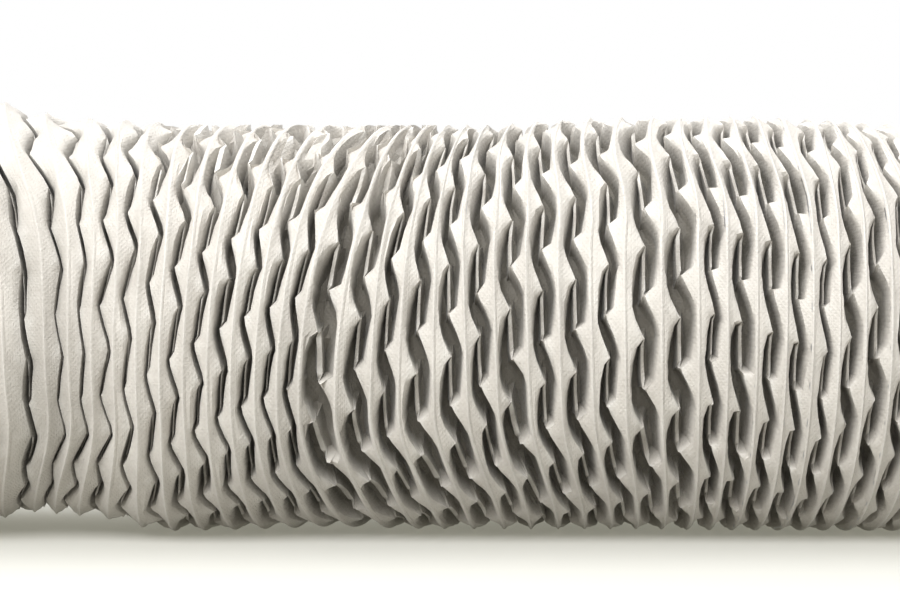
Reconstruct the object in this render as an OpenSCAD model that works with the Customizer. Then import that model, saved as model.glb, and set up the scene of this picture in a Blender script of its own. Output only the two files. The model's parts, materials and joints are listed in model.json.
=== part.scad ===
// Flexible ventilation hose: creased film on a spring wire helix, lying pushed together.
// The hose lies along X on the floor, with its middle over the origin and +Z up.

/* [Bore and stock] */
// Inside diameter of the plain ends
bore_d = 102; // [90:1:130]
// Length of the hose when it is pulled out straight
stock_length = 1000; // [700:25:1000]
// Width of film from one turn of wire to the next
film_pitch = 25; // [25:0.5:32]
// Mean step from turn to turn as the hose lies
turn_step = 7; // [6.5:0.1:9]
// Plain film past the wire at each cut end
cuff_length = 18; // [10:1:24]

/* [Film] */
// Thickness of the film
film_t = 0.4; // [0.3:0.05:0.6]
// Folds round one turn
folds = 15; // [12:1:15]
// Share of a fold by which the folds fall behind from turn to turn
fold_creep = 0.13; // [0:0.01:0.2]
// Depth of the folds between two turns
fold_depth = 11; // [8:0.5:13]
// Drop from the crest to the tips of the lobes beside it
lobe_drop = 1.5; // [1:0.1:3]
// Share of the step that a lobe reaches across
lobe_reach = 0.42; // [0.36:0.01:0.46]
// Share of the step from a crest to the pit beside it
pit_place = 0.32; // [0.28:0.01:0.36]
// Turns at the left end that fold plainly, without lobes
plain_left = 7; // [7:1:12]
// Turns at the right end that fold plainly, without lobes
plain_right = 5; // [5:1:10]

/* [Wire] */
// Diameter of the spring wire
wire_d = 1; // [0.8:0.1:1.6]
// Clearance between the wire and the crest of the film under it
wire_gap = 0.15; // [0.15:0.05:0.3]

/* [Lie of the turns] */
// Direction in which the turns are swung, down from the front
swing_angle = -25; // [-45:5:0]
// Share of the full swing and bunching shown below
lie_share = 1; // [0:0.1:1]

/* [Hidden] */

// Share of the turns, and how far the front of a turn there is swung along X
swing_places = [
    [0, 0], [0.03, 0], [0.14, 15], [0.275, 0], [0.375, -8.5], [0.425, -13.5],
    [0.475, -8.5], [0.55, -5], [0.675, -6], [0.8, -3], [0.9, -2], [0.98, 0], [1, 0]
];
// Share of the turns, and how far a turn there has moved along X by bunching
bunch_places = [[0, 0], [0.125, 0], [0.275, 8], [0.425, 12], [0.5, 8.5], [0.725, 14], [0.875, 6.5], [1, 0]];

turns = floor(stock_length / film_pitch);
columns = round(turns * 2 * (folds - fold_creep));
lag = round(columns / turns);
last_fold = columns - lag;
wire_r = wire_d / 2;
// Flat sides that stand in for the round section of the wire
wire_sides = 6;
bore_r = bore_d / 2;
cuff_r = bore_r + film_t;
// The faceted crest is clear of the round cuff, whose end is held all round inside it
seat_margin = 0.15;
cuff_seat = 0.2;
crest_r = cuff_r / cos(180 / lag) + seat_margin;
path_r = crest_r + wire_gap + wire_r;
// Short straight lengths, a little thicker than the wire, join its half circles
joint_margin = 0.15;
joint_r = wire_r + joint_margin;
joint_length = 2.6;
// Each half circle of wire stops this angle short of the split line, inside the joint
end_angle = 1;
// Wall along the radius, where a steep flank is film_t thick
flank_length = sqrt(pow(fold_depth, 2) + pow(turn_step / 2, 2));
radial_wall = film_t * flank_length / (turn_step / 2);
// Part of a turn over which the folds grow from nothing at each end
ramp_turns = 0.9;
folded_length = turns * turn_step;
film_colour = [0.80, 0.79, 0.77];
wire_colour = [0.72, 0.73, 0.74];

function swing(s) = lie_share * lookup(s / turns, swing_places);
function bunch(s) = lie_share * lookup(s / turns, bunch_places);
function smooth(t) = t <= 0 ? 0 : t >= 1 ? 1 : t * t * (3 - 2 * t);
function mix(a, b, t) = a + (b - a) * t;
function toward_axis(p, d) = [p.x, p.y - d * p.y / norm([p.y, p.z]), p.z - d * p.z / norm([p.y, p.z])];

// Directions across the hose: to the front where turns are swung most, and square to it
swing_dir = [0, -cos(swing_angle), sin(swing_angle)];
apex_dir = [0, sin(swing_angle), cos(swing_angle)];

// The wire is a chain of half circles, front to back over the top and back to front below.
// They meet at split points, where both run square to the hose and to the split line.
function split_x(h) = turn_step * h / 2 - folded_length / 2 + bunch(h / 2) + (h % 2 == 0 ? 1 : -1) * swing(h / 2);
// The steeper neighbour sets a split point's reach, so that no half circle bulges past the path's radius.
function half_slant(h) = max(abs(split_x(h + 1) - split_x(h)), abs(split_x(h) - split_x(h - 1))) / 2;
function split_reach(h) = sqrt(pow(path_r, 2) - pow(half_slant(h), 2));
function split_point(h) = [split_x(h), 0, 0] + (h % 2 == 0 ? 1 : -1) * split_reach(h) * swing_dir;

// Point of the wire's centre line, s turns from the left end
function wire_point(s) =
    let (h = min(floor(2 * s), 2 * turns - 1), a = 180 * (2 * s - h))
    let (p = split_point(h), q = split_point(h + 1), r = norm(p - q) / 2)
    (p + q) / 2 + (p - q) / 2 * cos(a) + (h % 2 == 0 ? 1 : -1) * r * sin(a) * apex_dir;

// Film: every column runs across one turn of film, from a crest to the crest one turn on.
// Even columns cross a lobe on the left crest and then a pit, odd columns the other way round.
function column_s(i) = turns * i / columns;
function is_plain(i) = column_s(i) < plain_left || column_s(i) > turns - 1 - plain_right;
function fold_share(i) = smooth(min(column_s(i), turns - 1 - column_s(i)) / ramp_turns);
function crest(i) = toward_axis(wire_point(column_s(i)), path_r - crest_r);
function across(i, w, d) =
    let (a = crest(i), b = toward_axis(wire_point(column_s(i) + 1), path_r - crest_r))
    toward_axis(mix(a, b, w), d * fold_share(i));
function first_slot(i) =
    is_plain(i) ? across(i, 0.5, fold_depth)
    : i % 2 == 0 ? across(i, lobe_reach, lobe_drop) : across(i, pit_place, fold_depth);
function second_slot(i) =
    is_plain(i) ? across(i, 0.5, fold_depth)
    : i % 2 == 0 ? across(i, 1 - pit_place, fold_depth) : across(i, 1 - lobe_reach, lobe_drop);
function at_end(i, x) = let (p = crest(i)) [x, p.y, p.z];

left_x = split_x(0);
right_x = split_x(2 * turns);
skin_points = concat(
    [for (i = [0:columns]) crest(i)],
    [for (i = [0:last_fold]) first_slot(i)],
    [for (i = [0:last_fold]) second_slot(i)],
    [for (i = [0:lag - 1]) at_end(i, left_x)],
    [for (i = [0:lag - 1]) at_end(last_fold + 1 + i, right_x)]
);
skin_size = len(skin_points);

// Places in skin_points; at the two ends of the wire a crest point is also a rim point
function crest_id(i) = i == 0 ? left_id(0) : i == columns ? right_id(lag - 1) : i;
function first_id(i) = columns + 1 + i;
function second_id(i) = is_plain(i) ? first_id(i) : columns + 2 + last_fold + i;
function left_id(i) = columns + 3 + 2 * last_fold + i;
function right_id(i) = left_id(lag) + i;

fold_faces = [
    for (i = [0:last_fold - 1])
    let (a = crest_id(i), b = first_id(i), c = second_id(i), d = crest_id(i + lag))
    let (e = crest_id(i + 1), f = first_id(i + 1), g = second_id(i + 1), k = crest_id(i + 1 + lag))
    each [[a, e, b], [e, f, b], [b, f, c], [f, g, c], [c, g, d], [g, k, d]]
];
left_faces = concat(
    [for (i = [0:lag - 2]) each [[left_id(i), crest_id(i + 1), crest_id(i)],
                                 [left_id(i), left_id(i + 1), crest_id(i + 1)]]],
    [[left_id(lag - 1), left_id(0), crest_id(lag - 1)],
     [crest_id(lag - 1), left_id(0), first_id(0)],
     [crest_id(lag - 1), first_id(0), second_id(0)],
     [crest_id(lag - 1), second_id(0), crest_id(lag)]]
);
right_faces = concat(
    [for (i = [0:lag - 2]) let (j = last_fold + 1 + i)
        each [[crest_id(j), right_id(i + 1), right_id(i)],
              [crest_id(j), crest_id(j + 1), right_id(i + 1)]]],
    [[right_id(0), right_id(lag - 1), crest_id(last_fold + 1)],
     [crest_id(last_fold + 1), right_id(lag - 1), second_id(last_fold)],
     [crest_id(last_fold + 1), second_id(last_fold), first_id(last_fold)],
     [crest_id(last_fold + 1), first_id(last_fold), crest_id(last_fold)]]
);
function is_facet(f) = f[0] != f[1] && f[1] != f[2] && f[2] != f[0];
skin_faces = [for (f = concat(fold_faces, left_faces, right_faces)) if (is_facet(f)) f];
left_rim = [for (i = [0:lag - 1]) each quad(left_id(i), left_id((i + 1) % lag))];
right_rim = [for (i = [0:lag - 1]) each quad(right_id((i + 1) % lag), right_id(i))];
function quad(a, b) = [[a, b + skin_size, b], [a, a + skin_size, b + skin_size]];

module folded_film() {
    inner_points = [for (p = skin_points) toward_axis(p, radial_wall)];
    inner_faces = [for (f = skin_faces) [f[2], f[1], f[0]] + skin_size * [1, 1, 1]];
    polyhedron(
        points = concat(skin_points, inner_points),
        faces = concat(skin_faces, inner_faces, left_rim, right_rim),
        convexity = 10
    );
}

// Plain end of the film, from its cut edge to just inside the folded length's own wall
module cuff(x) {
    translate([x, 0, 0]) rotate([0, 90, 0]) rotate_extrude($fn = 96)
        translate([bore_r, 0]) square([film_t, cuff_length + cuff_seat]);
}

// Height of the hose's axis over the floor, with the lowest turn of wire touching it
floor_samples = 72;
axis_height = wire_r - min([for (i = [0:floor_samples * turns]) wire_point(i / floor_samples).z]);

module lying() {
    translate([0, 0, axis_height]) children();
}

module duct_film() {
    color(film_colour) lying() {
        folded_film();
        cuff(left_x - cuff_length);
        cuff(right_x - cuff_seat);
    }
}

module half_turn(h) {
    p = split_point(h);
    q = split_point(h + 1);
    side = h % 2 == 0 ? 1 : -1;
    turn_r = norm(p - q) / 2;
    out = (p - q) / (2 * turn_r);
    up = side * apex_dir;
    along = cross(out, up);
    centre = (p + q) / 2;
    multmatrix([
        [out.x, up.x, along.x, centre.x],
        [out.y, up.y, along.y, centre.y],
        [out.z, up.z, along.z, centre.z],
        [0, 0, 0, 1]
    ]) rotate([0, 0, end_angle]) rotate_extrude(angle = 180 - 2 * end_angle, $fn = 72)
        translate([turn_r, 0]) circle(r = wire_r, $fn = wire_sides);
}

// Short straight length in which two half circles end
module joint(h) {
    translate(split_point(h)) rotate([-swing_angle, 0, 0])
        cylinder(h = joint_length, r = joint_r, center = true, $fn = wire_sides);
}

module wire_helix() {
    color(wire_colour) lying() {
        for (h = [0:2 * turns - 1]) half_turn(h);
        for (h = [1:2 * turns - 1]) joint(h);
    }
}

duct_film();
wire_helix();
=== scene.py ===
import json
import math

import bpy
import numpy as np
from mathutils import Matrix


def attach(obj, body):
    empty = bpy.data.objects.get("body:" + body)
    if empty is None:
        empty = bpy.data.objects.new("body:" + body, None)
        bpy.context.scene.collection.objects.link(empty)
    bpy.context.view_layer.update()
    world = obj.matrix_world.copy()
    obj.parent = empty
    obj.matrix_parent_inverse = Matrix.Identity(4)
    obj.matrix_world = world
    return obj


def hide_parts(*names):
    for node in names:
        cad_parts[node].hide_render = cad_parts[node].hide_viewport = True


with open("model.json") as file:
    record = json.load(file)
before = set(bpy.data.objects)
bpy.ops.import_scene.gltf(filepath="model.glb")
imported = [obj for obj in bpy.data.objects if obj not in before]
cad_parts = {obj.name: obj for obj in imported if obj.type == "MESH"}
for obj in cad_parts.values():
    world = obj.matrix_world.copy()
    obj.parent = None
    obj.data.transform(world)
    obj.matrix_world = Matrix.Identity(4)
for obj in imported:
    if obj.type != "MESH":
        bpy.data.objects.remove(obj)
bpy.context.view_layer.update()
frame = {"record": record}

rng = np.random.default_rng(41)

# The hose, in millimetres until its meshes are scaled to metres
TURNS = 40
STEP = 7.0
FOLDED = TURNS * STEP
PATH_R = 52.4831
WIRE_R = 0.5
FILM_T = 0.15
FILM_WIDTH = 25.0
BORE_R = 51.0
CUFF_R = 51.45
CUFF_LENGTH = 18.0
AXIS_Z = 1000 * frame["record"]["mounts"][0]["pos_m"][2]
SWING_ANGLE = math.radians(-25)
SWING = [[0, 0], [0.03, 0], [0.14, 15], [0.275, 0], [0.375, -8.5], [0.425, -13.5],
         [0.475, -8.5], [0.55, -5], [0.675, -6], [0.8, -3], [0.9, -2], [0.98, 0], [1, 0]]
BUNCH = [[0, 0], [0.125, 0], [0.275, 8], [0.425, 12], [0.5, 8.5], [0.725, 14], [0.875, 6.5], [1, 0]]
SWING_DIR = np.array([0, -math.cos(SWING_ANGLE), math.sin(SWING_ANGLE)])
APEX_DIR = np.array([0, math.sin(SWING_ANGLE), math.cos(SWING_ANGLE)])

# Eight columns of film to a fold, 119 to a turn
PER_FOLD = 8
LAG = 119
COLUMNS = TURNS * LAG
FIRST_TIP = 2
CREST_R = PATH_R + WIRE_R + FILM_T
BEAD_R = WIRE_R + FILM_T
HEM_FOOT = 0.95 * BEAD_R
HEM_DROP = 0.5
FLAT_DROP = CREST_R - CUFF_R

# Turn of wire, and the share of a fold by which the folds there run ahead
FOLD_DRIFT = [[0, 0], [4, 0.1], [9, 0.5], [13.5, 0.3], [17.6, 0.41], [18.6, 0.47], [19.6, 0.23], [20.6, 0.28],
              [21.6, 0.09], [22.6, 0.19], [23.6, -0.24], [24.6, -0.14], [25.6, -0.17], [26.6, -0.20],
              [27.6, -0.23], [28.6, -0.46], [29.6, -0.38], [30.6, -0.03], [31.6, 0.09], [32.6, 0.40],
              [33.6, 0.66], [34.6, 0.65], [35.6, 0.30], [38, 0.1], [40, 0]]

# Across one turn of film, at eight phases down a fold: (share of the step, drop from the crest).
# The lobe of the left turn ends at row 4, a thin standing fold is rows 8 and 9,
# and the lobe of the right turn ends at row 13.
LEFT_TIP = [(0.49, 1.15), (0.515, 1.3), (0.53, 1.45), (0.54, 1.6), (0.55, 1.8), (0.565, 2.4),
            (0.58, 5.2), (0.68, 8.2), (0.865, 6.4), (0.90, 1.7)]
BELOW_LEFT_TIP = [(0.31, 1.1), (0.365, 2.2), (0.405, 4.5), (0.44, 6.5), (0.465, 3.2), (0.54, 3.2),
                  (0.57, 6.0), (0.67, 8.2), (0.835, 6.2), (0.87, 1.6)]
MID_STRIP = [(0.19, 0.95), (0.25, 2.6), (0.32, 6.0), (0.42, 7.5), (0.46, 4.0), (0.54, 4.0),
             (0.575, 7.2), (0.67, 7.4), (0.795, 5.2), (0.83, 1.2)]
ABOVE_RIGHT_TIP = [(0.165, 0.9), (0.20, 2.6), (0.28, 7.0), (0.42, 7.6), (0.46, 3.8), (0.545, 3.8),
                   (0.575, 6.5), (0.64, 6.8), (0.725, 4.6), (0.76, 1.2)]
RIGHT_TIP = [(0.18, 0.9), (0.20, 3.0), (0.27, 7.0), (0.40, 8.0), (0.44, 4.4), (0.45, 1.9),
             (0.46, 1.6), (0.48, 1.45), (0.50, 1.3), (0.52, 1.2)]
EDGES_PART = [(0.185, 0.9), (0.20, 3.2), (0.25, 7.4), (0.33, 8.0), (0.41, 8.0), (0.47, 7.6),
              (0.52, 6.0), (0.545, 4.0), (0.555, 2.4), (0.565, 1.1)]
MID_CHANNEL = [(0.28, 1.0), (0.285, 3.2), (0.31, 6.6), (0.38, 7.6), (0.46, 7.8), (0.54, 7.8),
               (0.62, 7.6), (0.70, 6.6), (0.725, 3.2), (0.73, 1.0)]
ABOVE_LEFT_TIP = [(0.41, 1.0), (0.425, 1.3), (0.435, 3.5), (0.445, 5.5), (0.47, 7.4), (0.54, 8.0),
                  (0.63, 8.0), (0.73, 7.8), (0.82, 6.6), (0.845, 1.2)]
PROFILE = np.array([LEFT_TIP, BELOW_LEFT_TIP, MID_STRIP, ABOVE_RIGHT_TIP,
                    RIGHT_TIP, EDGES_PART, MID_CHANNEL, ABOVE_LEFT_TIP])
# How far each phase lies below its even place, in columns
SLIDE = np.array([0, -0.42, 0, 0.72, 0.35, -0.05, 0.1, 0.15])
GAP_CENTRE = (PROFILE[:, 0, 0] + PROFILE[:, -1, 0]) / 2
# Place along the hose, and how far the undersides and the tops of the turns there are drawn along it
PULL = [[-140, 0], [-134, -3], [-92, -4.4], [-78, -6.5], [-70, -5.5], [-60, -2.6], [-42, 0.6], [-24, 3.7], [-16, 5.8],
        [3, 7.6], [30, 6.3], [45, 5], [58, 3.5], [75, 0.5], [85, 0]]
TOP_PULL = [[-140, 0], [-134, -3], [-110, -5.5], [-99, -4.8], [-90, -3.8], [-80, -1.6], [-71, -1],
            [-62, -2.3], [-52, -2], [-38, 0], [-22, 0], [-12, 1.6], [0, 2], [12, 0], [28, -5.2],
            [35, -6.4], [44, -7.8], [52, -9.2], [60, -9.4], [68, -8.3], [75, -7.9], [82.7, -7.8],
            [88, -5.6], [94.6, -5.3], [101, -4.8], [107, -2.4], [113, -3], [119.4, -4],
            [126.3, -5.4], [140, 0]]
# Height over the axis at which the tops begin to be drawn
TOP_START = [[5, 12], [25, 24]]
# The same for the front of the turns, and how much of it they take at each height over the axis
FRONT_PULL = [[-140, 0], [-125, 2], [-105, 3.4], [-80, 3.9], [-73, 3.5], [-60, 1.6], [-40, 0.7], [-22, 0.2],
              [-9, 1.2], [-1, -0.4], [6, -1], [13, -2.8], [22, -5.2], [50, -5.2], [66, -4], [80, -2.8],
              [92, -1.3], [110, -0.8], [135, 0]]
FRONT_SHARE = [[-50, 0], [-24, 0.28], [0, 0.65], [20, 1], [28, 1], [40, 0.6], [51, 0]]
# How far the tops of some turns stand up, and how far the undersides of others are drawn up
LIFT = [[-130, 0], [-114, 8], [-104, 8.8], [-92, 5], [-84, 2.6], [-66, 1.2], [-50, 0],
        [30, 0], [60, 2], [98, 2.2], [125, 0.4], [140, 0]]
TUCK = [[-120, 0], [-104, 2], [-92, 4.2], [-72, 3.4], [-60, 0]]


def places(table, x):
    return np.interp(x, [a for a, _ in table], [b for _, b in table])


def smooth(t):
    t = np.clip(t, 0, 1)
    return t * t * (3 - 2 * t)


def split_x(h):
    side = np.where(h % 2 == 0, 1.0, -1.0)
    share = h / 2 / TURNS
    return STEP * h / 2 - FOLDED / 2 + places(BUNCH, share) + side * places(SWING, share)


def split_point(h):
    slant = np.maximum(abs(split_x(h + 1) - split_x(h)), abs(split_x(h) - split_x(h - 1))) / 2
    side = np.where(h % 2 == 0, 1.0, -1.0)
    point = (side * np.sqrt(PATH_R ** 2 - slant ** 2))[:, None] * SWING_DIR
    point[:, 0] += split_x(h)
    return point


def wire_point(s):
    s = np.asarray(s, float)
    h = np.minimum(np.floor(2 * s), 2 * TURNS - 1)
    a = (math.pi * (2 * s - h))[:, None]
    p, q = split_point(h), split_point(h + 1)
    r = np.linalg.norm(p - q, axis=1)[:, None] / 2
    side = np.where(h % 2 == 0, 1.0, -1.0)[:, None]
    return (p + q) / 2 + (p - q) / 2 * np.cos(a) + side * r * np.sin(a) * APEX_DIR


def inward(points, drop):
    """Points moved towards the hose's axis by drop."""
    out = points.copy()
    reach = np.linalg.norm(points[:, 1:], axis=1)
    out[:, 1:] *= ((reach - drop) / reach)[:, None]
    return out


def settled(points):
    """The lie of the turns, which are drawn along the hose and stand a little high or low in places."""
    x, y, z = points.T
    lift = places(LIFT, x) * smooth((z - 5) / 45)
    tuck = places(TUCK, x) * smooth((-z - 5) / 45)
    reach = np.hypot(y, z)
    grown = (reach + lift - tuck) / reach
    start = places(TOP_START, x)
    drawn = places(PULL, x) * smooth((-z - 20) / 33)
    drawn += places(TOP_PULL, x) * smooth((z - start) / (51 - start))
    drawn += places(FRONT_PULL, x) * places(FRONT_SHARE, z)
    return np.stack([x + drawn, y * grown, z * grown + AXIS_Z], 1)


def crest_line(s):
    return inward(wire_point(s), PATH_R - CREST_R)


def column_places():
    fine = np.linspace(0, TURNS, 40001)
    index = LAG * fine + PER_FOLD * places(FOLD_DRIFT, fine)
    return np.interp(np.arange(COLUMNS + 1), index, fine)


def waver(count, spacing, size):
    """A smooth random run along the columns."""
    knots = rng.normal(0, size, count // spacing + 3)
    return np.interp(np.arange(count), np.arange(len(knots)) * spacing, knots)


def film_rows(s):
    """Rows 0 to 17 of each column of film: the crest lines they lie between, shares of the step and drops."""
    n = len(s) - LAG
    start, end = crest_line(s[:n]), crest_line(s[LAG:])
    step = np.linalg.norm(end - start, axis=1)
    phase = (FIRST_TIP - np.arange(n)) % PER_FOLD
    rows = PROFILE[phase].copy()
    centre = GAP_CENTRE[phase]
    mid_s = (s[:n] + s[LAG:] - 1) / 2
    angle = np.arctan2(start[:, 2], -start[:, 1])
    # the film is crumpled and shallow where the turns open at the top, and at one wide turn in front
    crumple = smooth((angle - 0.45) / 0.4) * smooth((2.3 - angle) / 0.4)
    crumple = crumple * smooth((mid_s - 9.5) / 2) * smooth((20.5 - mid_s) / 2)
    patch = smooth(1.8 * (1 - abs(mid_s - 16.7) / 0.9)) * smooth(1.6 * (1 - abs(angle + 0.35) / 0.55))
    crumple = np.maximum(crumple, 0.4 * patch)
    low = smooth((-start[:, 2] - 20) / 22) * np.interp(mid_s, [3, 7, 17, 21], [0.1, 1, 1, 0.3])
    # how far the gaps are open, and how far they wander from side to side
    open_share = np.clip((step - 2.0) / 5.2, 0.25, 1.15) * (1 + waver(n, PER_FOLD, 0.16))
    open_share *= 1 + 0.8 * crumple + 0.5 * low
    open_share *= np.interp(mid_s, [0, 6, 8.5, 12, 16, 24, 28, 34, 38, 40],
                            [0.24, 0.26, 0.45, 0.75, 1, 1.04, 1, 0.96, 0.8, 0.5])
    wander = np.interp(mid_s, [0, 4.5, 6, 8, 12, 17, 36, 38, 40], [0.4, 0.5, 0.85, 1.3, 1.35, 1, 1, 0.8, 0.3])
    wander = wander * (1 + waver(n, PER_FOLD, 0.06))
    # the folds at the left run in slow, uneven waves
    slow = np.interp(mid_s, [0, 9, 12], [1, 1, 0])
    wave = 0.14 * np.cos(2 * math.pi * phase / PER_FOLD) * (1 + waver(n, PER_FOLD, 0.45))
    centre_now = centre + (0.5 + wave - centre) * slow
    new_centre = 0.5 + (centre_now - 0.5) * wander + waver(n, PER_FOLD, 0.022)
    share = new_centre[:, None] + (rows[:, :, 0] - centre[:, None]) * open_share[:, None]
    drop = rows[:, :, 1]
    lobes = (1 + waver(n, PER_FOLD, 0.14)) * np.interp(mid_s, [0, 10, 16], [1.8, 1.7, 1.1])
    # the folds under the hose are pressed shallower
    pressed = 1 - 0.3 * smooth((-start[:, 2] - 38) / 14)
    depth = pressed * (1 + waver(n, PER_FOLD, 0.05))
    drop = np.where(drop < 2, drop * lobes[:, None], drop * depth[:, None])
    foot = HEM_FOOT / step
    w = np.zeros((n, 18))
    d = np.zeros((n, 18))
    w[:, 1], d[:, 1] = 0.6 * foot, 0.2
    w[:, 2], d[:, 2] = foot, HEM_DROP
    neck = (1.15 * foot)[:, None]
    w[:, 4:14], d[:, 4:14] = np.clip(share, neck, 1 - neck), drop
    w[:, 3], d[:, 3] = (w[:, 2] + w[:, 4]) / 2, HEM_DROP + (d[:, 4] - HEM_DROP) * 0.3
    w[:, 14], d[:, 14] = (1 - foot + w[:, 13]) / 2, HEM_DROP + (d[:, 13] - HEM_DROP) * 0.3
    w[:, 15], d[:, 15] = 1 - foot, HEM_DROP
    w[:, 16], d[:, 16] = 1 - 0.6 * foot, 0.2
    w[:, 17] = 1
    for r in range(5, 13):
        d[:, r] -= crumple * np.clip(waver(n, 4, 1.9) + 2.9, 0, 6)
        d[:, r] += rng.normal(0, 0.09, n) + waver(n, 3, 0.15)
    for r in (3, 14):
        d[:, r] += waver(n, 4, 0.12) + waver(n, 2, 0.04)
    w[:, 4:14] += rng.normal(0, 0.0022, (n, 10))
    w[:, 1:17] = np.sort(w[:, 1:17], axis=1)
    # the folds grow from nothing at both ends
    grown = smooth(np.minimum(mid_s, TURNS - 1 - mid_s) / 0.9)
    d[:, 3:15] = FLAT_DROP + (d[:, 3:15] - FLAT_DROP) * grown[:, None]
    d = np.clip(d, 0, 9.8)
    starts, ends = np.repeat(start[None], 18, 0), np.repeat(end[None], 18, 0)
    slide = SLIDE[phase] * grown
    spacing = np.gradient(s)
    starts[3:15] = crest_line(np.clip(s[:n] - slide * spacing[:n], 0, TURNS))
    ends[3:15] = crest_line(np.clip(s[LAG:] - slide * spacing[LAG:], 0, TURNS))
    return starts, ends, w, d


def lining_rows(s):
    """The side of the film seen from inside, as rows 0 to 6."""
    n = len(s) - 48
    start, end = crest_line(s[:n]), crest_line(s[48:])
    grown = smooth(np.minimum(s[:n], TURNS - 1 - s[:n]) / 0.9)[:, None]
    w = np.tile([0, 0.12, 0.25, 0.5, 0.75, 0.88, 1], (n, 1))
    deep = np.array([1.5, 6.2, 10.4, 10.9, 10.4, 6.2, 1.5])
    d = (CREST_R - BORE_R) + (deep - (CREST_R - BORE_R)) * grown
    return np.repeat(start[None], 7, 0), np.repeat(end[None], 7, 0), w, d


def cloth_place(turn, share):
    """Where a point lies on the film itself, with its turns laid out as a smooth roll."""
    angle = 2 * math.pi * turn
    return np.stack([PATH_R * np.cos(angle), PATH_R * np.sin(angle), FILM_WIDTH * (turn + share)], 1)


def ring(angles, x, radius):
    return np.stack([np.full(len(angles), x), radius * angles[:, 0], radius * angles[:, 1]], 1)


def skin(s, lag, rows, foot, end_radius):
    """Points, places on the cloth and triangles of one side of the film, from cuff edge to cuff edge.
    Returns also the point numbers of the two edge rings."""
    starts, ends_of_rows, w, d = rows
    n, count = w.shape
    last = len(s) - 1
    points, cloth, at = [], [], {}

    def add(name, block, turn, share):
        at[name] = sum(len(b) for b in points)
        points.append(block)
        cloth.append(cloth_place(turn, share))

    crest_drop = np.full(len(s), d[0, 0])
    add("crest", inward(crest_line(s), crest_drop), s, 0)
    for r in range(1, count - 1):
        between = starts[r] + (ends_of_rows[r] - starts[r]) * w[:, r:r + 1]
        add(r, inward(between, d[:, r]), s[:n], w[:, r])

    def number(c, r):
        if r == 0:
            return at["crest"] + c
        if r == count - 1:
            return at["crest"] + c + lag
        return at[r] + c

    quads = []
    columns = np.arange(n - 1)
    for r in range(count - 1):
        quads.append(np.stack([number(columns, r), number(columns, r + 1),
                               number(columns + 1, r + 1), number(columns + 1, r)], 1))
    tris = []
    ends = []
    for left in (True, False):
        c = np.arange(lag) if left else np.arange(last - lag + 1, last + 1)
        side = -1 if left else 1
        line = crest_line(s[c])
        reach = np.linalg.norm(line[:, 1:], axis=1)[:, None]
        angles = line[:, 1:] / reach
        seat = line.copy()
        seat[:, 0] += side * foot[0]
        edge_x = split_x(np.array([0.0 if left else 2.0 * TURNS]))[0]
        name = "left" if left else "right"
        add(name + "foot", inward(seat, foot[1]), s[c], 0)
        for k, x in enumerate((1.0, 5.0, 10.0, 14.5, CUFF_LENGTH)):
            add(name + str(k), ring(angles, edge_x + side * x, end_radius), s[c], side * x / FILM_WIDTH)
        chain = [at["crest"] + c, at[name + "foot"] + np.arange(lag)]
        chain += [at[name + str(k)] + np.arange(lag) for k in range(5)]
        for k in range(1, len(chain)):
            a, b = chain[k - 1], chain[k]
            if k < 3:
                quad = np.stack([a[:-1], a[1:], b[1:], b[:-1]], 1)
            else:
                nxt = np.roll(np.arange(lag), -1)
                quad = np.stack([a, a[nxt], b[nxt], b], 1)
            quads.append(quad if left else quad[:, ::-1])
        seam = 0 if left else n - 1
        crossing = [int(number(seam, r)) for r in range(count)]
        if left:
            border = [chain[2][-1], chain[2][0], chain[1][0], *crossing, chain[0][-1]]
            hub = int(chain[1][-1])
        else:
            border = [chain[2][0], chain[2][-1], chain[1][-1], *crossing[::-1], chain[0][0]]
            hub = int(chain[1][0])
        fan = [(hub, border[i + 1], border[i]) for i in range(len(border) - 1)]
        tris.append(np.array(fan, int))
        ends.append(chain[-1])
    points = np.vstack(points)
    quads = np.vstack(quads)
    a, b, c, e = (points[quads[:, i]] for i in range(4))
    short = np.linalg.norm(a - c, axis=1) <= np.linalg.norm(b - e, axis=1)
    tris.append(np.where(short[:, None], quads[:, [0, 1, 2]], quads[:, [0, 1, 3]]))
    tris.append(np.where(short[:, None], quads[:, [0, 2, 3]], quads[:, [1, 2, 3]]))
    return points, np.vstack(cloth), np.vstack(tris), ends


def rim(points, outer, inner):
    """Triangles between two rings of unlike counts, matched by angle."""
    def turn_of(ids):
        angles = np.unwrap(np.arctan2(points[ids, 2], points[ids, 1]))
        return (angles - angles[0]) * (1 if angles[-1] > angles[0] else -1)
    ta, tb = turn_of(outer), turn_of(inner)
    faces, i, j = [], 0, 0
    while i < len(outer) or j < len(inner):
        next_a = ta[i + 1] if i + 1 < len(outer) else 2 * math.pi
        next_b = tb[j + 1] if j + 1 < len(inner) else 2 * math.pi
        a, b = outer[i % len(outer)], inner[j % len(inner)]
        if j >= len(inner) or (i < len(outer) and next_a <= next_b):
            faces.append((a, outer[(i + 1) % len(outer)], b))
            i += 1
        else:
            faces.append((a, inner[(j + 1) % len(inner)], b))
            j += 1
    return np.array(faces, int)


def mesh_object(name, points, tris, sharp=None):
    mesh = bpy.data.meshes.new(name)
    mesh.vertices.add(len(points))
    mesh.vertices.foreach_set("co", (points * 0.001).astype(np.float32).ravel())
    mesh.loops.add(len(tris) * 3)
    mesh.loops.foreach_set("vertex_index", tris.astype(np.int32).ravel())
    mesh.polygons.add(len(tris))
    mesh.polygons.foreach_set("loop_start", np.arange(0, 3 * len(tris), 3, dtype=np.int32))
    mesh.update(calc_edges=True)
    mesh.validate()
    mesh.polygons.foreach_set("use_smooth", np.ones(len(mesh.polygons), bool))
    if sharp:
        mesh.set_sharp_from_angle(angle=math.radians(sharp))
    piece = bpy.data.objects.new(name, mesh)
    bpy.context.scene.collection.objects.link(piece)
    return piece


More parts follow.
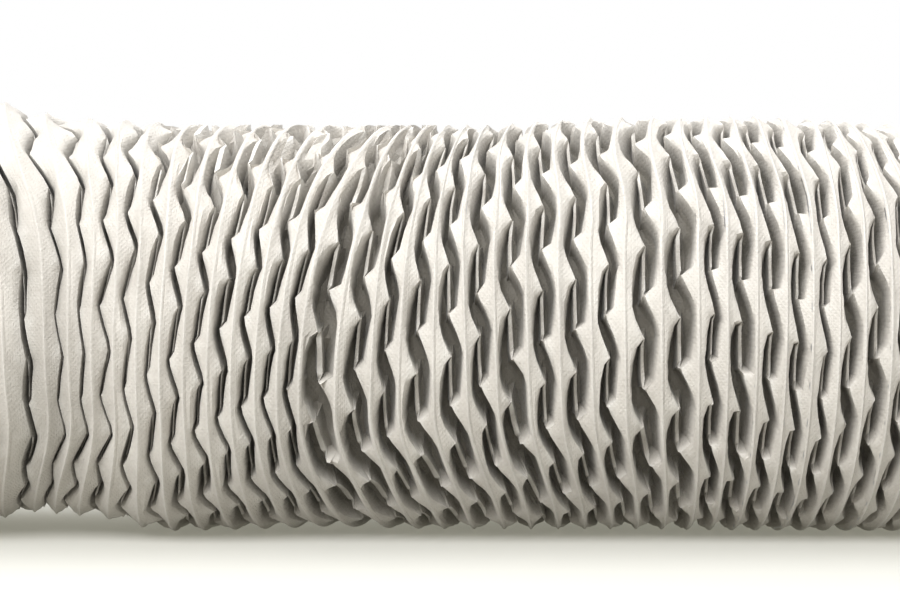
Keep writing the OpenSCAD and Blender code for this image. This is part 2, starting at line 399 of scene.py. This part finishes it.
def creased_film():
    s = column_places()
    rows = film_rows(s)
    outer, outer_cloth, outer_tris, outer_ends = skin(s, LAG, rows, (HEM_FOOT, HEM_DROP), CUFF_R)
    s_in = np.linspace(0, TURNS, 48 * TURNS + 1)
    inner, inner_cloth, inner_tris, inner_ends = skin(s_in, 48, lining_rows(s_in), (0.6, CREST_R - BORE_R), BORE_R)
    points = np.vstack([outer, inner])
    tris = [outer_tris, inner_tris[:, ::-1] + len(outer)]
    for k, (a, b) in enumerate(zip(outer_ends, inner_ends)):
        if k == 1:      # the right-hand rings start at different angles, so both begin at the same side
            a, b = a[::-1], b[::-1]
        faces = rim(points, list(a), [int(v) + len(outer) for v in b])
        tris.append(faces)
    drop = np.clip(CREST_R - np.hypot(points[:, 1], points[:, 2]), 0, 10) / 10
    piece = mesh_object("creased_film", settled(points), np.vstack(tris), sharp=38)
    layer = piece.data.attributes.new("fold_drop", "FLOAT", "POINT")
    layer.data.foreach_set("value", drop.astype(np.float32))
    layer = piece.data.attributes.new("cloth_place", "FLOAT_VECTOR", "POINT")
    layer.data.foreach_set("vector", (np.vstack([outer_cloth, inner_cloth]) * 0.001).astype(np.float32).ravel())
    return piece


def spring_wire():
    """The wire inside the hem, as a round tube along the turns."""
    per_turn, sides = 36, 8
    s = np.linspace(0, TURNS, per_turn * TURNS + 1)
    line = wire_point(s)
    along = np.gradient(line, axis=0)
    along /= np.linalg.norm(along, axis=1)[:, None]
    out = line * [0, 1, 1]
    out /= np.linalg.norm(out, axis=1)[:, None]
    out -= along * np.sum(out * along, axis=1)[:, None]
    out /= np.linalg.norm(out, axis=1)[:, None]
    across = np.cross(along, out)
    angle = np.arange(sides) * 2 * math.pi / sides
    loops = [line + WIRE_R * (out * math.cos(a) + across * math.sin(a)) for a in angle]
    points = np.stack(loops, 1).reshape(-1, 3)
    points = np.vstack([points, line[:1], line[-1:]])
    tris = []
    for i in range(len(s) - 1):
        for k in range(sides):
            a, b = i * sides + k, i * sides + (k + 1) % sides
            tris += [(a, b, b + sides), (a, b + sides, a + sides)]
    hub = len(s) * sides
    for k in range(sides):
        a, b = k, (k + 1) % sides
        tris += [(hub, b, a), (hub + 1, a + hub - sides, b + hub - sides)]
    return mesh_object("spring_wire", settled(points), np.array(tris, int), sharp=50)


# Surfaces
def node_group(name, inputs, outputs):
    group = bpy.data.node_groups.new(name, "ShaderNodeTree")
    for label, kind, value in inputs:
        socket = group.interface.new_socket(label, in_out="INPUT", socket_type=kind)
        socket.default_value = value
    for label, kind in outputs:
        group.interface.new_socket(label, in_out="OUTPUT", socket_type=kind)
    return group, group.nodes.new("NodeGroupInput"), group.nodes.new("NodeGroupOutput")


def add_node(tree, kind, settings=(), **values):
    node = tree.nodes.new(kind)
    for key, value in dict(settings).items():
        setattr(node, key, value)
    for key, value in values.items():
        node.inputs[key.replace("_", " ")].default_value = value
    return node


def maths(tree, operation, a, b=None):
    node = tree.nodes.new("ShaderNodeMath")
    node.operation = operation
    for slot, value in ((0, a), (1, b)):
        if value is None:
            continue
        if hasattr(value, "is_linked"):
            tree.links.new(value, node.inputs[slot])
        else:
            node.inputs[slot].default_value = value
    return node.outputs[0]


def mixed(tree, factor, a, b, blend="MIX"):
    node = tree.nodes.new("ShaderNodeMix")
    node.data_type, node.blend_type = "RGBA", blend
    for slot, value in ((0, factor), (6, a), (7, b)):
        if hasattr(value, "is_linked"):
            tree.links.new(value, node.inputs[slot])
        else:
            node.inputs[slot].default_value = value
    return node.outputs[2]


def shown_rays(tree):
    """1 for rays that show the surroundings, straight or in a gloss or glass, and 0 for rays that light."""
    path = tree.nodes.new("ShaderNodeLightPath")
    shown = maths(tree, "MAXIMUM", path.outputs["Is Camera Ray"], path.outputs["Is Glossy Ray"])
    return maths(tree, "MAXIMUM", shown, path.outputs["Is Transmission Ray"])


def woven_grain():
    """Fine threads under a coating, with a slubby grain: gives a normal and a height."""
    group, given, result = node_group(
        "woven_grain",
        [("Thread spacing", "NodeSocketFloat", 1400.0), ("Thread depth", "NodeSocketFloat", 0.3),
         ("Grain size", "NodeSocketFloat", 500.0), ("Grain depth", "NodeSocketFloat", 0.4),
         ("Distance", "NodeSocketFloat", 0.0002)],
        [("Normal", "NodeSocketVector"), ("Height", "NodeSocketFloat")])
    link = group.links.new
    place = group.nodes.new("ShaderNodeTexCoord")
    heights = []
    for angle in (0.62, -0.72):
        turn = add_node(group, "ShaderNodeVectorRotate", {"rotation_type": "Y_AXIS"}, Angle=angle)
        link(place.outputs["Object"], turn.inputs["Vector"])
        wave = add_node(group, "ShaderNodeTexWave", {"wave_type": "BANDS", "bands_direction": "X"},
                        Distortion=1.2, Detail=2.0, Detail_Scale=1.5)
        link(turn.outputs[0], wave.inputs["Vector"])
        link(given.outputs["Thread spacing"], wave.inputs["Scale"])
        heights.append(wave.outputs["Fac"])
    threads = maths(group, "MULTIPLY", maths(group, "MAXIMUM", *heights), given.outputs["Thread depth"])
    noise = add_node(group, "ShaderNodeTexNoise", Detail=5.0, Roughness=0.62)
    link(place.outputs["Object"], noise.inputs["Vector"])
    link(given.outputs["Grain size"], noise.inputs["Scale"])
    grain = maths(group, "MULTIPLY", noise.outputs["Fac"], given.outputs["Grain depth"])
    total = maths(group, "ADD", threads, grain)
    bump = group.nodes.new("ShaderNodeBump")
    link(total, bump.inputs["Height"])
    link(given.outputs["Distance"], bump.inputs["Distance"])
    link(bump.outputs["Normal"], result.inputs["Normal"])
    link(total, result.inputs["Height"])
    return group


def handled_tone():
    """Uneven tone from handling and folding: a colour that wanders between two others, and a mask."""
    group, given, result = node_group(
        "handled_tone",
        [("Tone", "NodeSocketColor", (0.6, 0.6, 0.6, 1)), ("Worn tone", "NodeSocketColor", (0.7, 0.7, 0.7, 1)),
         ("Patch size", "NodeSocketFloat", 30.0), ("Contrast", "NodeSocketFloat", 0.5)],
        [("Color", "NodeSocketColor"), ("Mask", "NodeSocketFloat")])
    link = group.links.new
    place = group.nodes.new("ShaderNodeTexCoord")
    broad = add_node(group, "ShaderNodeTexNoise", Detail=4.0, Roughness=0.55)
    link(place.outputs["Object"], broad.inputs["Vector"])
    link(given.outputs["Patch size"], broad.inputs["Scale"])
    fine = add_node(group, "ShaderNodeTexNoise", Detail=3.0, Roughness=0.7, Scale=900.0)
    link(place.outputs["Object"], fine.inputs["Vector"])
    both = maths(group, "ADD", maths(group, "MULTIPLY", broad.outputs["Fac"], 0.7),
                 maths(group, "MULTIPLY", fine.outputs["Fac"], 0.3))
    centred = maths(group, "MULTIPLY", maths(group, "SUBTRACT", both, 0.5), 3.0)
    mask = group.nodes.new("ShaderNodeClamp")
    link(maths(group, "ADD", maths(group, "MULTIPLY", centred, given.outputs["Contrast"]), 0.5), mask.inputs[0])
    link(mixed(group, mask.outputs[0], given.outputs["Tone"], given.outputs["Worn tone"]), result.inputs["Color"])
    link(mask.outputs[0], result.inputs["Mask"])
    return group


GRAIN, TONE = woven_grain(), handled_tone()


def surface(name, group_values, roughness, metallic=0.0):
    """A material with one of each group, ready for its own extras."""
    material = bpy.data.materials.new(name)
    material.use_nodes = True
    tree = material.node_tree
    shader = tree.nodes["Principled BSDF"]
    shader.inputs["Roughness"].default_value = roughness
    shader.inputs["Metallic"].default_value = metallic
    made = {}
    for group in (GRAIN, TONE):
        node = tree.nodes.new("ShaderNodeGroup")
        node.node_tree = group
        for key, value in group_values.get(group.name, {}).items():
            node.inputs[key].default_value = value
        made[group.name] = node
    tree.links.new(made["woven_grain"].outputs["Normal"], shader.inputs["Normal"])
    return material, tree, shader, made


def film_material():
    material, tree, shader, made = surface("film_cloth", {
        "woven_grain": {"Thread spacing": 380.0, "Thread depth": 0.25, "Grain size": 1100.0,
                        "Grain depth": 1.0, "Distance": 0.00022},
        "handled_tone": {"Tone": (0.55, 0.52, 0.478, 1), "Worn tone": (0.68, 0.652, 0.607, 1),
                         "Patch size": 70.0, "Contrast": 1.0}}, 0.55)
    # fine pleats that run round with the turns
    cloth = add_node(tree, "ShaderNodeAttribute", {"attribute_name": "cloth_place"})
    stretch = add_node(tree, "ShaderNodeVectorMath", {"operation": "MULTIPLY"})
    stretch.inputs[1].default_value = (60, 60, 1600)
    tree.links.new(cloth.outputs["Vector"], stretch.inputs[0])
    pleats = add_node(tree, "ShaderNodeTexNoise", Scale=1.0, Detail=2.0, Roughness=0.6)
    tree.links.new(stretch.outputs[0], pleats.inputs["Vector"])
    raised = add_node(tree, "ShaderNodeBump", Distance=0.00025, Strength=0.5)
    tree.links.new(pleats.outputs["Fac"], raised.inputs["Height"])
    tree.links.new(made["woven_grain"].outputs["Normal"], raised.inputs["Normal"])
    tree.links.new(raised.outputs["Normal"], shader.inputs["Normal"])
    # painted shade: darker towards the bottom of the folds; lighter along sharp creases, with a painted highlight on
    # the crest beads
    drop = add_node(tree, "ShaderNodeAttribute", {"attribute_name": "fold_drop"})
    deep = add_node(tree, "ShaderNodeMapRange", From_Min=0.15, From_Max=0.7)
    tree.links.new(drop.outputs["Fac"], deep.inputs["Value"])
    shade = maths(tree, "MULTIPLY", deep.outputs[0], 0.97)
    # painted shade: the tone is mixed towards dark brown where the film lies deep below the crests
    painted_pit_shade = mixed(tree, shade, made["handled_tone"].outputs["Color"], (0.145, 0.134, 0.112, 1))
    geometry = tree.nodes.new("ShaderNodeNewGeometry")
    worn = add_node(tree, "ShaderNodeMapRange", From_Min=0.52, From_Max=0.60)
    tree.links.new(geometry.outputs["Pointiness"], worn.inputs["Value"])
    # painted highlight: the film right at the crest beads is mixed towards a pale colour; the pointiness part
    # lightens sharp creases
    painted_crest_highlight = add_node(tree, "ShaderNodeMapRange", From_Min=0.025, From_Max=0.0)
    tree.links.new(drop.outputs["Fac"], painted_crest_highlight.inputs["Value"])
    painted_highlight_and_crease_lightening = maths(tree, "MULTIPLY", maths(tree, "MAXIMUM", worn.outputs[0], painted_crest_highlight.outputs[0]), 0.7)
    tree.links.new(mixed(tree, painted_highlight_and_crease_lightening, painted_pit_shade, (0.86, 0.85, 0.82, 1)), shader.inputs["Base Color"])
    shader.inputs["Sheen Weight"].default_value = 0.15
    shader.inputs["Specular IOR Level"].default_value = 0.35
    return material


def wire_material():
    material, tree, shader, made = surface("spring_steel", {
        "woven_grain": {"Thread spacing": 300.0, "Thread depth": 0.1, "Grain size": 1200.0,
                        "Grain depth": 0.3, "Distance": 0.00003},
        "handled_tone": {"Tone": (0.42, 0.42, 0.43, 1), "Worn tone": (0.60, 0.60, 0.61, 1),
                         "Patch size": 90.0, "Contrast": 0.8}}, 0.35, 1.0)
    tree.links.new(made["handled_tone"].outputs["Color"], shader.inputs["Base Color"])
    return material


def floor_material():
    material, tree, shader, made = surface("studio_paper", {
        "woven_grain": {"Thread spacing": 100.0, "Thread depth": 0.0, "Grain size": 300.0,
                        "Grain depth": 0.2, "Distance": 0.0001},
        "handled_tone": {"Tone": (0.50, 0.50, 0.485, 1), "Worn tone": (0.54, 0.54, 0.525, 1),
                         "Patch size": 6.0, "Contrast": 0.3}}, 0.9)
    shader.inputs["Specular IOR Level"].default_value = 0.1
    # the paper glows a little, also in the hose's shadow, and it throws back less light than it shows
    place = tree.nodes.new("ShaderNodeTexCoord")
    reach = add_node(tree, "ShaderNodeVectorMath", {"operation": "LENGTH"})
    far = add_node(tree, "ShaderNodeMapRange", {"interpolation_type": "SMOOTHSTEP"},
                   From_Min=0.4, From_Max=1.3, To_Min=0.11, To_Max=0.95)
    tree.links.new(place.outputs["Object"], reach.inputs[0])
    tree.links.new(reach.outputs["Value"], far.inputs["Value"])
    shown = shown_rays(tree)
    seen = mixed(tree, shown, (0.40, 0.39, 0.36, 1),
                 made["handled_tone"].outputs["Color"])
    tree.links.new(seen, shader.inputs["Base Color"])
    glow = maths(tree, "ADD", maths(tree, "MULTIPLY", shown, far.outputs[0]), 0.10)
    tree.links.new(glow, shader.inputs["Emission Strength"])
    shader.inputs["Emission Color"].default_value = (1, 0.98, 0.80, 1)
    return material


# Studio
def studio_floor():
    half = 3.0
    mesh = bpy.data.meshes.new("studio_floor")
    z = -0.0002
    mesh.from_pydata([(-half, -half, z), (half, -half, z), (half, half, z), (-half, half, z)], [], [(0, 1, 2, 3)])
    floor = bpy.data.objects.new("studio_floor", mesh)
    bpy.context.scene.collection.objects.link(floor)
    floor.data.materials.append(floor_material())
    return floor


def studio_light():
    world = bpy.data.worlds.new("studio")
    bpy.context.scene.world = world
    world.use_nodes = True
    tree = world.node_tree
    tree.nodes.clear()
    out = tree.nodes.new("ShaderNodeOutputWorld")
    seen = add_node(tree, "ShaderNodeBackground", Color=(1, 1, 1, 1), Strength=1.0)
    fill = add_node(tree, "ShaderNodeBackground", Color=(1, 0.985, 0.95, 1))
    place = tree.nodes.new("ShaderNodeTexCoord")
    axes = tree.nodes.new("ShaderNodeSeparateXYZ")
    upward = add_node(tree, "ShaderNodeMapRange", {"interpolation_type": "SMOOTHSTEP"},
                      From_Min=-0.2, From_Max=0.8, To_Min=0.15, To_Max=0.68)
    tree.links.new(place.outputs["Generated"], axes.inputs[0])
    tree.links.new(axes.outputs["Z"], upward.inputs["Value"])
    tree.links.new(upward.outputs[0], fill.inputs["Strength"])
    choose = tree.nodes.new("ShaderNodeMixShader")
    tree.links.new(shown_rays(tree), choose.inputs[0])
    tree.links.new(fill.outputs[0], choose.inputs[1])
    tree.links.new(seen.outputs[0], choose.inputs[2])
    tree.links.new(choose.outputs[0], out.inputs["Surface"])
    lamp_at("overhead_softbox", (0.12, 0.12, 0.9), (0, 0, 0.05), 0.8, 4.9)
    lamp_at("front_softbox", (-0.26, -0.76, 0.66), (0, 0, 0.05), 0.6, 11.5)


def lamp_at(name, place, target, size, power):
    light = bpy.data.lights.new(name, "AREA")
    light.shape, light.size, light.energy = "SQUARE", size, power
    lamp = bpy.data.objects.new(name, light)
    lamp.location = place
    toward = bpy.data.objects.new(name + "_aim", None)
    toward.location = target
    for o in (lamp, toward):
        bpy.context.scene.collection.objects.link(o)
    hold = lamp.constraints.new("TRACK_TO")
    hold.target, hold.track_axis, hold.up_axis = toward, "TRACK_NEGATIVE_Z", "UP_Y"


def studio_camera():
    camera = bpy.data.cameras.new("camera")
    camera.sensor_width, camera.lens = 36.0, 64.4
    camera.shift_y = 0.0308
    camera.clip_start = 0.02
    seat = bpy.data.objects.new("camera", camera)
    seat.location = (0.013, -0.424, AXIS_Z * 0.001)
    seat.rotation_euler = (math.radians(90), 0, 0)
    bpy.context.scene.collection.objects.link(seat)
    bpy.context.scene.camera = seat


film = creased_film()
film.data.materials.append(film_material())
wire = spring_wire()
wire.data.materials.append(wire_material())
for piece, node, slot in ((film, "duct_film", "film"), (wire, "wire_helix", "wire")):
    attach(piece, "root")
    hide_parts(node)
floor = studio_floor()
studio_light()
studio_camera()
bpy.context.scene.view_settings.view_transform = "Standard"
